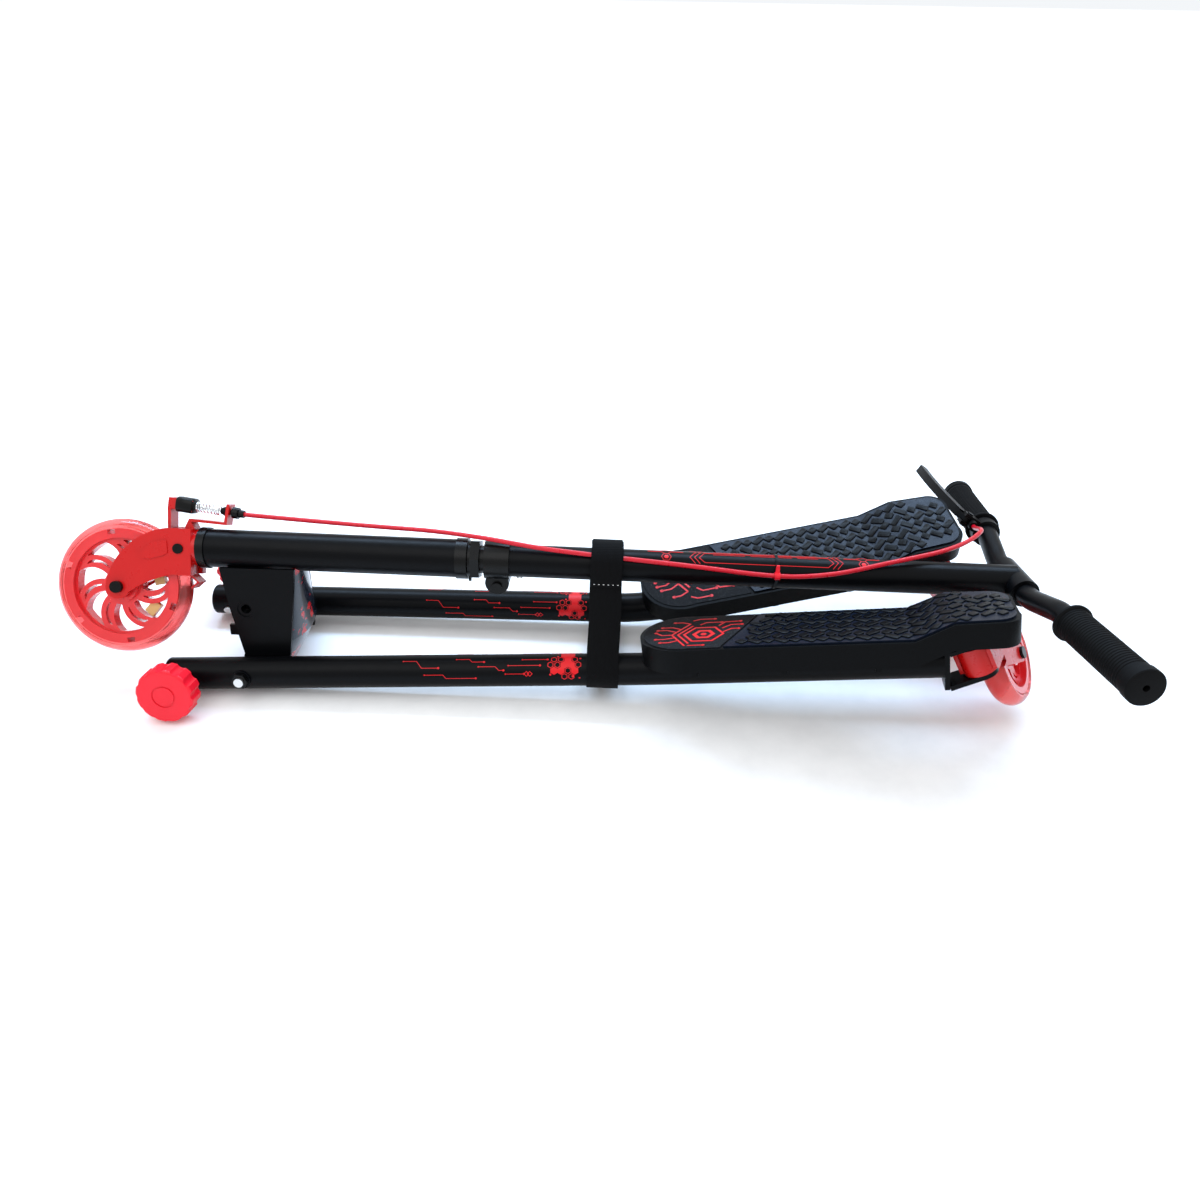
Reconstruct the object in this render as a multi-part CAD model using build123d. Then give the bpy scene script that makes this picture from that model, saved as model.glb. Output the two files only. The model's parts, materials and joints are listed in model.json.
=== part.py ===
from build123d import *
import os
from math import atan, cos, degrees, radians, sin, tan

# A folded three-wheel scooter, lying on its lock knobs and one caster, strapped shut.
# Every piece is modelled in the column's frame: X runs up the steering axis from the fork
# crown, Z points to the front of the scooter and Y to the rider's right. Each assembly has
# its own frame inside that one, and lay_down() at the end sets the whole on the ground.

# ---------------------------------------------------------------- driving sizes, mm
GAP = 0.3             # between curved faces of two bodies
SEAT = 0.05           # radial clearance of a pin, bush or pressed-in cup

HEAD_START, HEAD_END = 13.0, 281.0
HEAD_OD, HEAD_ID = 41.4, 37.0
STEERER_OD, STEERER_ID = 30.0, 25.0
STEERER_END = 420.0
STEM_OD, STEM_ID = 35.0, 30.4
STEM_START = 311.0
TEE_X = 881.0         # axis of the handlebar sleeve
FORK_TURN = 28.7      # degrees that the fork is turned to the right
STEM_TURN = 9.0       # degrees that the handlebar is turned the same way

WHEEL_R, TYRE_W = 72.5, 24.0
CROWN_ROOM, WHEEL_BACK = 7.0, 44.4
WHEEL_X = -(WHEEL_R + CROWN_ROOM)
RIM_R = 62.0
AXLE_D = 8.0
BLADE_IN, BLADE_T = 15.0, 4.0
CROWN_FRONT, CROWN_BACK = 20.5, 29.5
BEAD_T, BEAD_R = 1.2, 2.0
BEAD_OUTLINE = ((-25, -6), (-26, 8), (-40, 6), (-52, -3), (-57, -12), (-45, -13), (-30, -9))
BRAKE_X, BRAKE_BACK = -14.0, 1.0
SHOE_GAP = 1.7
ARM_HALF = 9.0        # half width of the brake arm

SPLAY = 13.6          # half of the angle between the two arms
PIVOT_X, PIVOT_Y, PIVOT_DROP = 55.4, 69.5, 115.0
ARM_LIFT = {-1: -3.24, 1: -1.67}    # left and right arm, from parallel to the column
OPEN_ANGLE = 87.5     # arm to column when the scooter stands ready to ride
ARM_OD, ARM_WALL = 35.0, 2.5
TAIL = 82.0
LOCK_ARM = 66.4       # from pivot bolt to lock knob
LOCK_TRAVEL = 14.0
BOSS_T = 2.0
PLATE_T = 4.0
BOLT_D = 10.0
SHIELD_T = 3.5
SHIELD_ROWS = ((-13, 29, 5), (22, 36, 17), (104, 46, 9))    # height, edge and bow of the cover

BEND_X = 434.0        # where the arm turns outwards under the deck
TOE, PITCH = 10.7, 6.3
ARM_END = 304.0       # from the bend to the tube's rear end
DECK_L, DECK_HALF, DECK_NOSE = 371.0, 46.0, 56.0
DECK_TOP, DECK_STEP = 40.0, 15.5
STEP_START, STEP_END = 274.0, 310.0
DECK_WALL, SKIRT = 3.5, 26.0
TREAD_T = 2.0
CUT_X, CUT_LEAN, CUT_GAP = 104.0, 0.4, 4.0    # where tape and tread meet, sooner on the outer edge

NECK_X, NECK_Z, NECK_TILT = 340.0, -10.0, 20.0
NECK_R, NECK_H = 16.5, 28.0
KING_D = 8.0
TRAIL, DROP = 72.0, 28.0
CASTER_R, CASTER_RIM, CASTER_W = 53.0, 42.0, 24.0
CASTER_LEG = CASTER_W / 2 + 2.4       # inner face of each caster leg
CASTER_LEG_T = 4.0
CASTER_SWING = {-1: -70.0, 1: -70.0}  # both wheels hang inwards

BAR_OD, BAR_ID = 22.2, 18.2
SLEEVE_HALF, SLEEVE_R = 32.0, 15.0
GRIP_OD, GRIP_START, GRIP_END = 33.0, 123.0, 240.0

STRAP_BACK, STRAP_W, STRAP_T = 46.4, 34.0, 1.6    # ahead of the arms' bends, width, thickness
STRAP_X = PIVOT_X + BEND_X - STRAP_BACK
CABLE_D = 5.0

parts = {}


def keep(name, shape):
    parts[name] = shape


# ---------------------------------------------------------------- frames
def turn_x(angle):
    return Location((0, 0, 0), (angle, 0, 0))


def turn_y(angle):
    return Location((0, 0, 0), (0, angle, 0))


def turn_z(angle):
    return Location((0, 0, 0), (0, 0, angle))


FORK = turn_x(-FORK_TURN)
STEM = turn_x(-STEM_TURN)


def pivot_frame(side):
    return Pos(PIVOT_X, side * PIVOT_Y, -PIVOT_DROP) * turn_x(side * SPLAY)


def arm_frame(side):
    return pivot_frame(side) * turn_y(ARM_LIFT[side])


def deck_frame(side):
    return arm_frame(side) * Pos(BEND_X, 0, 0) * turn_z(side * TOE) * turn_y(-PITCH)


def neck_frame(side):
    return deck_frame(side) * Pos(NECK_X, 0, NECK_Z) * turn_y(-NECK_TILT)


def caster_frame(side):
    return neck_frame(side) * turn_z(side * CASTER_SWING[side])


# ---------------------------------------------------------------- small shapes
def rod_x(radius, start, end):
    return Pos((start + end) / 2, 0, 0) * turn_y(90) * Cylinder(radius, end - start)


def pipe_x(outer, inner, start, end):
    return rod_x(outer, start, end) - rod_x(inner, start - 1, end + 1)


def rod_y(radius, start, end):
    low, high = sorted((start, end))
    return Pos(0, (low + high) / 2, 0) * turn_x(90) * Cylinder(radius, high - low)


def pipe_y(outer, inner, start, end):
    low, high = sorted((start, end))
    return rod_y(outer, low, high) - rod_y(inner, low - 1, high + 1)


def rod_z(radius, start, end):
    return Pos(0, 0, (start + end) / 2) * Cylinder(radius, end - start)


def box_at(x0, x1, y0, y1, z0, z1):
    centre = Pos((x0 + x1) / 2, (y0 + y1) / 2, (z0 + z1) / 2)
    return centre * Box(abs(x1 - x0), abs(y1 - y0), abs(z1 - z0))


def slab_y(face, start, end):
    """A face drawn in XZ, thickened along Y from start to end."""
    low, high = sorted((start, end))
    return Pos(0, high, 0) * extrude(Plane.XZ * face, high - low)


def hex_y(across, start, end):
    low, high = sorted((start, end))
    return slab_y(RegularPolygon(across / 2, 6, major_radius=False), low, high)


# ---------------------------------------------------------------- frame: column and bracket
def head_tube():
    return pipe_x(HEAD_OD / 2, HEAD_ID / 2, HEAD_START, HEAD_END)


def headset(lip_start, lip_end, cup_end, lip_r):
    """A pressed cup: its lip outside the head tube, its skirt inside."""
    bore = STEERER_OD / 2 + SEAT
    lip = pipe_x(lip_r, bore, lip_start, lip_end)
    skirt = pipe_x(HEAD_ID / 2 - SEAT, bore, min(lip_end, cup_end), max(lip_start, cup_end))
    return lip + skirt


def lock_spot(angle):
    """Where the lock stud stands in the pivot frame when the arm is at this angle."""
    return -LOCK_ARM * cos(radians(angle)), LOCK_ARM * sin(radians(angle))


def bracket_plate(side):
    """The slanted side plate that carries one arm."""
    outline = Polyline(
        (-27, 113), (-20, 66), (-9, 14), (-15, -6), (-6, -17), (36, -17), (42, 14), (54, 114), close=True
    )
    face = make_face(outline)
    outer = -side * (ARM_OD / 2 + BOSS_T)
    inner = outer - side * PLATE_T
    plate = slab_y(face, outer, inner)
    lock_x, lock_z = lock_spot(OPEN_ANGLE)
    nut = Pos(lock_x, 0, lock_z) * rod_y(10, inner, inner - side * 8)
    bolt_hole = rod_y(BOLT_D / 2 + SEAT, outer + side, inner - side)
    lock_hole = Pos(lock_x, 0, lock_z) * rod_y(BOLT_D / 2 + 0.4, outer + side, inner - side * 9)
    recess = Pos(lock_x, 0, lock_z) * rod_y(9, outer + side, outer - side * 1.2)
    solid = plate + nut - bolt_hole - lock_hole - recess
    column = rod_x(HEAD_OD / 2 + SEAT, -100, 300)
    return pivot_frame(side) * solid - column


def half_between(height, clearance):
    """Half the room between the two plates' inner faces at a height above the pivots."""
    inset = (ARM_OD / 2 + BOSS_T + PLATE_T + clearance) / cos(radians(SPLAY))
    return PIVOT_Y - inset - height * tan(radians(SPLAY))


def between_plates(clearance):
    """The space between the two plates' inner faces."""
    outline = []
    for height, side in ((-40, -1), (-40, 1), (130, 1), (130, -1)):
        outline.append((side * half_between(height, clearance), height))
    return Pos(-60, 0, -PIVOT_DROP) * extrude(Plane.YZ * make_face(Polyline(*outline, close=True)), 260)


def bracket_wall(points, clearance):
    """A wall drawn from the side, x and height above the pivots, reaching from plate to plate."""
    wall = slab_y(make_face(Polyline(*points, close=True)), -100, 100)
    column = rod_x(HEAD_OD / 2 + SEAT, -100, 300)
    return (Pos(PIVOT_X, 0, -PIVOT_DROP) * wall & between_plates(clearance)) - column


def bracket():
    """Two side plates and the leading wall, welded up with the folding stops."""
    wall = bracket_wall([(-4, 14), (-20, 98), (-23, 98), (-7, 14)], 0)
    stops = []
    for side in (-1, 1):
        inner = -side * (ARM_OD / 2 + BOSS_T + PLATE_T)
        stops.append(pivot_frame(side) * box_at(-24, -12, inner, inner - side * 4, 34, 46))
    return bracket_plate(-1) + bracket_plate(1) + wall + stops


def bracket_shield():
    """The bowed cover that closes the bracket's trailing side."""
    sections = []
    for height, edge, bow in SHIELD_ROWS:
        half = half_between(height, 0) + 2
        inner = ThreePointArc((edge, -half), (edge + bow, 0), (edge, half))
        outer = ThreePointArc((edge + SHIELD_T, -half), (edge + SHIELD_T + bow, 0), (edge + SHIELD_T, half))
        ends = [Line((edge, side * half), (edge + SHIELD_T, side * half)) for side in (-1, 1)]
        sections.append(Pos(0, 0, height) * make_face([inner, outer, *ends]))
    shell = Pos(PIVOT_X, 0, -PIVOT_DROP) * loft(sections, ruled=True)
    column = rod_x(HEAD_OD / 2 + SEAT, -100, 300)
    return (shell & between_plates(0.15)) - column


def pivot_bolt(side):
    """Head inside the bracket, shank through plate and arm, rounded end outside."""
    inner = -side * (ARM_OD / 2 + BOSS_T + PLATE_T)
    head = hex_y(16, inner, inner - side * 6)
    shank = rod_y(BOLT_D / 2, inner, side * 27)
    return pivot_frame(side) * (head + shank)


def pivot_nut(side):
    start = side * (ARM_OD / 2 + BOSS_T + GAP)
    nut = hex_y(15, start, start + side * 4.5) - rod_y(BOLT_D / 2 + SEAT, start - side, start + side * 6)
    return pivot_frame(side) * nut


# ---------------------------------------------------------------- steering: fork and brake
def steerer():
    """The fork's tube, slotted where the button drops into it."""
    tube = pipe_x(STEERER_OD / 2, STEERER_ID / 2, -0.5, STEERER_END)
    drill = Pos(BUTTON_X, 0, 0) * rod_z(BUTTON_R + 1, -STEERER_OD, -STEERER_ID / 2 + 3)
    slot = [turn_x(angle) * drill for angle in (-FORK_TURN, -(FORK_TURN + STEM_TURN) / 2, -STEM_TURN)]
    return tube - slot


def in_fork(shape):
    return FORK * shape


def blade_face():
    """One fork blade, drawn with X along the column and up the page towards the front."""
    axle = (WHEEL_X, -WHEEL_BACK)
    top = ThreePointArc((-27, CROWN_FRONT), (-68, 1), (WHEEL_X - 13, -WHEEL_BACK))
    bottom = ThreePointArc((WHEEL_X + 12, -WHEEL_BACK - 5), (-50, -39), (-22, -CROWN_BACK))
    edges = [
        Line((-0.5, -CROWN_BACK), (-0.5, CROWN_FRONT)),
        Line((-0.5, CROWN_FRONT), (-27, CROWN_FRONT)),
        top,
        ThreePointArc((WHEEL_X - 13, -WHEEL_BACK), (WHEEL_X, -WHEEL_BACK - 13), (WHEEL_X + 12, -WHEEL_BACK - 5)),
        bottom,
        Line((-22, -CROWN_BACK), (-0.5, -CROWN_BACK)),
    ]
    face = make_face(edges)
    return face - Pos(*axle) * Circle(AXLE_D / 2 + SEAT) - Pos(BRAKE_X, -BRAKE_BACK) * Circle(3 + SEAT)


def fork():
    """Two stamped blades and the crown plate they are folded from."""
    blades = [slab_y(blade_face(), side * BLADE_IN, side * (BLADE_IN + BLADE_T)) for side in (-1, 1)]
    width = BLADE_IN + BLADE_T
    crown = box_at(-5, -0.5, -width, width, -CROWN_BACK, CROWN_FRONT)
    crown -= box_at(-6, 0, -ARM_HALF - 1.5, ARM_HALF + 1.5, -CROWN_BACK - 1, -STEERER_OD / 2 - 2.5)
    bead = slab_y(make_face(Polyline(*BEAD_OUTLINE, close=True)), -width - BEAD_T, -width)
    bead = fillet(bead.edges().filter_by(Axis.Y), BEAD_R)
    beads = bead + mirror(bead, Plane.XZ)
    shell = blades[0] + blades[1] + crown + beads
    race = pipe_x(HEAD_OD / 2 - 1, STEERER_OD / 2 + SEAT, -0.5, 3.5)
    bore = rod_x(STEERER_OD / 2 + SEAT, -0.5, 10)
    return in_fork(shell + race - bore)


def axle_bolt(width, length_out, diameter):
    """A through bolt with a round head at each end."""
    shank = rod_y(diameter / 2, -width, width)
    heads = [rod_y(diameter / 2 + 2.4, side * width, side * (width + length_out)) for side in (-1, 1)]
    return shank + heads


def front_axle():
    return in_fork(Pos(WHEEL_X, 0, -WHEEL_BACK) * axle_bolt(BLADE_IN + BLADE_T + 0.1, 4.5, AXLE_D))


def brake_pivot():
    return in_fork(Pos(BRAKE_X, 0, -BRAKE_BACK) * axle_bolt(BLADE_IN + BLADE_T + 0.1, 1.6, 6))


CABLE_FROM, CABLE_TO = (-2.0, 44.0), (50.0, 37.6)  # the brake's pull line, x and height
PULL_SLOPE = degrees(atan((CABLE_FROM[1] - CABLE_TO[1]) / (CABLE_TO[0] - CABLE_FROM[0])))


def pull_line():
    """A frame on the brake's pull line, X along the cable."""
    return Pos(CABLE_FROM[0], 0, CABLE_FROM[1]) * turn_y(PULL_SLOPE)


# pivot lug, then the strip that passes behind the crown and turns in over the tyre: x and height
SHOE_OUTLINE = [
    (-29.5, 2), (-26, 12), (-9, 5), (-6.2, -12), (-4.2, -22), (-4, -29.5), (4.4, -37), (-3.7, -44.4),
    (-5, -43), (1.5, -37), (-6, -30.5), (-6.2, -22), (-9, -12), (-20, -4), (-24, -2),
]


def brake_arm():
    """The bent arm: clevis ears at the front, shoe plate over the tyre behind."""
    half = ARM_HALF
    ears = []
    for side in (-1, 1):
        ears.append(pull_line() * box_at(-24, -1, side * half, side * (half - 2.5), -6, 6))
    back = pull_line() * box_at(-27, -24, -half, half, -6, 6)
    post = box_at(-29.5, -26, -half, half, 2, 43)
    foot = slab_y(make_face(Polyline(*SHOE_OUTLINE, close=True)), -half, half)
    arm = back + post + foot + ears
    keep_out = Pos(BRAKE_X, 0, -BRAKE_BACK) * rod_y(3 + SEAT, -20, 20)
    tyre_room = Pos(WHEEL_X, 0, -WHEEL_BACK) * rod_y(WHEEL_R + SHOE_GAP, -20, 20)
    return in_fork(arm - keep_out - tyre_room)


def clevis():
    """The block in the arm's ears that the inner wire is pinched in."""
    block = box_at(-14, 0, -6.2, 6.2, -4.5, 4.5)
    pin = Pos(-8, 0, 0) * rod_y(2, -11, 11)
    return in_fork(pull_line() * (block + pin))


def pinned(arm):
    """The arm with the holes for the clevis pin."""
    return arm - in_fork(pull_line() * Pos(-8, 0, 0) * rod_y(2 + SEAT, -12, 12))


def brake_spring():
    """The return spring, as the sleeve that its coils fill."""
    return in_fork(pull_line() * pipe_x(6.0, 4.4, 0.2, 27))


def wire_boot():
    """The rubber cone between spring and bracket."""
    cone = Pos(30.2, 0, 0) * turn_y(90) * Cone(3.2, 6.0, 6)
    return in_fork(pull_line() * (cone - rod_x(1.1, 20, 40)))


def cable_bracket():
    """A strap of steel from the crown, bent up into the eye that holds the adjuster."""
    half = 8.0
    outline = make_face(Polyline(
        (-5, CROWN_FRONT), (-12, CROWN_FRONT), (-7, 31), (30.5, 28.4), (33.5, 48), (36.5, 48), (33.4, 25.4),
        (-5, 27.8), (-1, CROWN_FRONT), close=True))
    strap = slab_y(outline, -half, half)
    eye = pull_line() * rod_x(3.2, 20, 60)
    return in_fork(strap - eye)


def cable_adjuster():
    """Barrel adjuster screwed through the bracket's eye."""
    body = pipe_x(3.1, 1.1, 33.3, 40) + pipe_x(6.2, 1.1, 40, 46) + pipe_x(4.2, CABLE_D / 2 + GAP, 46, 52)
    return in_fork(pull_line() * body)


# ---------------------------------------------------------------- wheels
def tyre(radius, rim, width):
    """A ring with a rounded tread, about Y."""
    half = width / 2
    shoulder = radius - 7
    edges = [
        Line((rim, -half + 2), (rim, half - 2)),
        Line((rim, half - 2), (rim + 2, half)),
        Line((rim + 2, half), (shoulder, half)),
        ThreePointArc((shoulder, half), (radius, 0), (shoulder, -half)),
        Line((shoulder, -half), (rim + 2, -half)),
        Line((rim + 2, -half), (rim, -half + 2)),
    ]
    return revolve(Plane.XY * make_face(edges), Axis.Y)


def window(inner, outer, half_angle, lean):
    """An opening between curved spokes: narrow at the hub, swept round towards the rim."""
    middle = (inner + outer) / 2

    def at(radius, angle):
        return radius * cos(radians(angle)), radius * sin(radians(angle))

    edges = [
        ThreePointArc(at(inner, -half_angle * 0.5), at(inner, 0), at(inner, half_angle * 0.5)),
        ThreePointArc(at(inner, half_angle * 0.5), at(middle, half_angle * 0.85 + lean * 0.3),
                      at(outer, half_angle + lean)),
        ThreePointArc(at(outer, half_angle + lean), at(outer, lean), at(outer, lean - half_angle)),
        ThreePointArc(at(outer, lean - half_angle), at(middle, lean * 0.3 - half_angle * 0.85),
                      at(inner, -half_angle * 0.5)),
    ]
    return make_face(edges)


def hub(rim, boss, bore, width, count, web):
    """A moulded wheel: rim band, boss and a pierced web between them, about Y."""
    inner_rim = rim - 0.16 * rim
    band = pipe_y(rim, inner_rim, -width / 2, width / 2)
    disc = pipe_y(inner_rim + 0.5, boss - 1, -web / 2, web / 2)
    centre = pipe_y(boss, bore, -width / 2, width / 2)
    step = 360 / count
    big = window(boss + 4, inner_rim - 2.5, step * 0.29, 24)
    small = window(boss + 7, inner_rim - 7, step * 0.055, 20)
    cuts = []
    for index in range(count):
        cuts.append(turn_y(index * step) * slab_y(big, -width, width))
        cuts.append(turn_y((index + 0.5) * step) * slab_y(small, -width, width))
    return band + (disc - cuts) + centre


def rim_notches(rim, width):
    """Square notches in the rim's edge, where the moulded-on tyre keys in."""
    cuts = []
    for index in range(6):
        notch = box_at(rim - 5.5, rim + 2, -width, width, -4, 4)
        cuts.append(turn_y(index * 60 + 20) * notch)
    return cuts


def front_wheel_place():
    return FORK * Pos(WHEEL_X, 0, -WHEEL_BACK)


def front_hub():
    """The wheel's moulded core with its bearings, which reach almost to the blades."""
    core = hub(RIM_R, 17, AXLE_D / 2 + SEAT, TYRE_W - 2, 7, 12)
    bearing = pipe_y(10, AXLE_D / 2 + SEAT, -BLADE_IN + GAP, BLADE_IN - GAP)
    return core - rim_notches(RIM_R, TYRE_W) + bearing


def caster_hub():
    core = hub(CASTER_RIM, 12, AXLE_D / 2 + SEAT, CASTER_W - 2, 5, 9)
    return core + pipe_y(8, AXLE_D / 2 + SEAT, -CASTER_LEG + GAP, CASTER_LEG - GAP)


# ---------------------------------------------------------------- stem and handlebar
def bar_path(side):
    """Straight out of the sleeve, a little forwards, then straight through the grip."""
    return (TEE_X, 0, 0), (TEE_X, side * 45, 0), (TEE_X + 4.4, side * 100, 13), (TEE_X + 14.5, side * 241, 14.8)


def bar_line(side):
    return FilletPolyline(*bar_path(side), radius=[100, 45])


def bar_half(side):
    line = bar_line(side)
    ring = Plane(origin=line @ 0, z_dir=line % 0) * (Circle(BAR_OD / 2) - Circle(BAR_ID / 2))
    return sweep(ring, line)


def on_bar(side, out):
    """A frame on the bar's axis this far out, Y pointing outwards along the grip."""
    low, high = Vector(*bar_path(side)[2]), Vector(*bar_path(side)[3])
    along = (high - low).normalized()
    spot = low + along * ((out - abs(low.Y)) / abs(along.Y))
    return Plane(origin=spot, x_dir=Vector(1, 0, 0) - along * along.X, z_dir=along).location * turn_x(90)


def grip(side):
    """A closed rubber sleeve with a flange at each end and a small hole in the outer one."""
    length = GRIP_END - GRIP_START
    body = rod_y(GRIP_OD / 2, 0, length + 6)
    body += rod_y(GRIP_OD / 2 + 2.5, 0, 4)
    body += rod_y(GRIP_OD / 2 + 1.2, length - 1, length + 6)
    body -= rod_y(BAR_OD / 2 + SEAT, -1, length + 2)
    body -= rod_y(3, length, length + 10)
    return STEM * (on_bar(side, GRIP_START) * body)


def stem_tube():
    """The stem with the cross sleeve welded on its top for the handlebar."""
    tube = pipe_x(STEM_OD / 2, STEM_ID / 2, STEM_START, TEE_X)
    button_hole = Pos(BUTTON_X, 0, -STEM_OD / 2) * rod_z(BUTTON_R + 0.4, -4, 4)
    sleeve = Pos(TEE_X, 0, 0) * rod_y(SLEEVE_R, -SLEEVE_HALF, SLEEVE_HALF)
    bore = Pos(TEE_X, 0, 0) * rod_y(BAR_OD / 2 + SEAT, -SLEEVE_HALF - 1, SLEEVE_HALF + 1)
    return STEM * (tube - button_hole + sleeve - bore)


def handlebar():
    return STEM * (bar_half(-1) + bar_half(1))


COLLAR_X, COLLAR_W, COLLAR_R = 325.0, 27.0, 20.6
BUTTON_X, BUTTON_R = 348.5, 3.2


def collar():
    """The pinch collar, its ear hanging behind the stem."""
    ring = Pos(COLLAR_X, 0, 0) * rod_x(COLLAR_R, -COLLAR_W / 2, COLLAR_W / 2)
    ear = Pos(COLLAR_X, 0, -23) * rod_y(13, -11, 11)
    bore = rod_x(STEM_OD / 2 + SEAT, 200, 500)
    slot = Pos(COLLAR_X, 0, -30) * box_at(-20, 20, -1.2, 1.2, -20, 14)
    hole = Pos(COLLAR_X, 0, -27) * rod_y(3 + SEAT, -20, 20)
    return STEM * (ring + ear - bore - slot - hole)


def collar_bolt():
    bolt = rod_y(3, -11.1, 11.1) + rod_y(5.4, -14.5, -11.1) + hex_y(10, 11.1, 15)
    return STEM * (Pos(COLLAR_X, 0, -27) * bolt)


def push_button():
    cap = rod_z(BUTTON_R, -STEM_OD / 2 - 2.4, -STEM_OD / 2 + 2.2)
    return STEM * (Pos(BUTTON_X, 0, 0) * cap)


def headset_nut():
    """The locknut above the upper cup, with its tabbed washer."""
    washer = pipe_x(19.5, STEERER_OD / 2 + SEAT, 294.3, 297)
    tab = box_at(294.3, 297, -3, 3, -24, -18)
    nut = extrude(Plane.YZ * RegularPolygon(19.5, 6, major_radius=False), 9.5)
    nut = Pos(297, 0, 0) * nut - rod_x(STEERER_OD / 2 + SEAT, 290, 320)
    return FORK * (washer + tab + nut)


# ---------------------------------------------------------------- brake lever
PERCH_OUT = 112.5     # how far out on the bar the lever's clamp sits
LEVER_AXIS = 28.0     # from the bar's axis to the lever's pivot
LEVER_ROLL = 150.0    # degrees, the side of the bar that the lever hangs on
WIRE_OUT = 22.0       # from the bar's axis to the cable's end


def perch_frame():
    """On the bar, Y outwards, X towards the lever's side."""
    return on_bar(1, PERCH_OUT) * turn_y(-LEVER_ROLL)


def lever_perch():
    """Clamp, the fork that carries the lever on its pin, and the socket for the cable's end."""
    clamp = rod_y(15.5, -7, 7)
    arm = box_at(8, LEVER_AXIS + 6, -6, 6, -7, 7)
    slot = box_at(LEVER_AXIS - 7, LEVER_AXIS + 10, -10, 10, -3.3, 3.3)
    barrel = Pos(WIRE_OUT, 0, 0) * rod_y(5.0, -15, -5.5)
    bore = rod_y(BAR_OD / 2 + SEAT, -20, 20)
    pin = Pos(LEVER_AXIS, 0, 0) * (rod_z(2.5, -8.6, 8.6) + rod_z(3.6, 6.9, 8.6) + rod_z(3.6, -8.6, -6.9))
    socket = Pos(WIRE_OUT, 0, 0) * rod_y(CABLE_D / 2 + SEAT, -20, -9)
    wire = Pos(WIRE_OUT, 0, 0) * rod_y(1.2, -20, 0)
    return STEM * (perch_frame() * (clamp + arm + barrel - slot - bore - socket - wire + pin))


def brake_lever():
    """A flat blade that swings about its pin, curving away from the grip to a round tip."""
    half = 5.0
    root = (LEVER_AXIS, 0)
    inner = ThreePointArc((LEVER_AXIS - 5, 8), (LEVER_AXIS + 14, 56), (LEVER_AXIS + 26, 128))
    outer = ThreePointArc((LEVER_AXIS + 5, -2), (LEVER_AXIS + 25, 52), (LEVER_AXIS + 37, 127))
    tip = ThreePointArc((LEVER_AXIS + 26, 128), (LEVER_AXIS + 33, 133.5), (LEVER_AXIS + 37, 127))
    back = Line((LEVER_AXIS + 5, -2), (LEVER_AXIS - 5, -2))
    side = Line((LEVER_AXIS - 5, -2), (LEVER_AXIS - 5, 8))
    face = make_face([inner, tip, outer, back, side])
    blade = Pos(0, 0, -half) * extrude(face, 2 * half)
    eye_cut = box_at(-50, LEVER_AXIS + 60, -30, 9, 3, 20) + box_at(-50, LEVER_AXIS + 60, -30, 9, -20, -3)
    knuckle = Pos(*root, 0) * rod_z(5.5, -3, 3)
    bore = Pos(*root, 0) * rod_z(2.5 + SEAT, -20, 20)
    return STEM * (perch_frame() * (blade - eye_cut + knuckle - bore))


# ---------------------------------------------------------------- arms and decks
def arm_line():
    slope = radians(PITCH)
    end = Vector(cos(slope) * cos(radians(TOE)), cos(slope) * sin(radians(TOE)), sin(slope)) * ARM_END
    return end


def arm_rod(side, radius):
    """The arm's bent line as a solid rod, in the arm's frame."""
    end = arm_line()
    line = FilletPolyline((-TAIL, 0, 0), (BEND_X, 0, 0), (BEND_X + end.X, side * end.Y, end.Z), radius=320)
    return sweep(Plane(origin=line @ 0, z_dir=line % 0) * Circle(radius), line)


def arm_tube(side):
    tube = arm_rod(side, ARM_OD / 2) - arm_rod(side, ARM_OD / 2 - ARM_WALL)
    boss_end = ARM_OD / 2 + BOSS_T
    bosses = rod_y(10, -(boss_end - GAP), boss_end) + Pos(-LOCK_ARM, 0, 0) * rod_y(8, -ARM_OD / 2 + 1, boss_end)
    bosses -= rod_x(ARM_OD / 2 - ARM_WALL, -200, 200)
    if side < 0:
        bosses = mirror(bosses, Plane.XZ)
    hole = BOLT_D / 2 + SEAT
    holes = rod_y(hole, -30, 30) + Pos(-LOCK_ARM, 0, 0) * rod_y(hole, -30, 30)
    return arm_frame(side) * (tube + bosses + core(hole) - holes)


def core(hole):
    """The bushes welded across the tube for the pivot bolt and the lock stud."""
    reach = ARM_OD / 2 - 1
    bush = pipe_y(hole + 2, hole, -reach, reach)
    return bush + Pos(-LOCK_ARM, 0, 0) * bush


def tail_cap(side):
    cap = rod_x(ARM_OD / 2, -TAIL - 3, -TAIL - 0.05)
    cap = fillet(cap.edges().sort_by(Axis.X)[0], 2.2)
    plug = rod_x(ARM_OD / 2 - ARM_WALL - SEAT, -TAIL - 0.5, -TAIL + 6)
    return arm_frame(side) * (cap + plug)


def deck_outline(inset):
    """Rounded nose, straight sides, drawn in a little at the heel."""
    half, nose = DECK_HALF - inset, DECK_NOSE
    tip, end = inset, DECK_L - inset
    heel = half - 4
    corner = 18 - inset * 0.5
    edges = [
        ThreePointArc((nose, -half), (tip + (nose - tip) * 0.25, -half * 0.72), (tip, 0)),
        ThreePointArc((tip, 0), (tip + (nose - tip) * 0.25, half * 0.72), (nose, half)),
        Line((nose, half), (STEP_START, half)),
        Line((STEP_START, half), (end - corner, heel)),
        ThreePointArc((end - corner, heel), (end - corner * 0.22, heel - corner * 0.42), (end, heel - corner * 1.4)),
        Line((end, heel - corner * 1.4), (end, -heel + corner * 1.4)),
        ThreePointArc((end, -heel + corner * 1.4), (end - corner * 0.22, -heel + corner * 0.42),
                      (end - corner, -heel)),
        Line((end - corner, -heel), (STEP_START, -half)),
        Line((STEP_START, -half), (nose, -half)),
    ]
    return make_face(edges)


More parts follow.
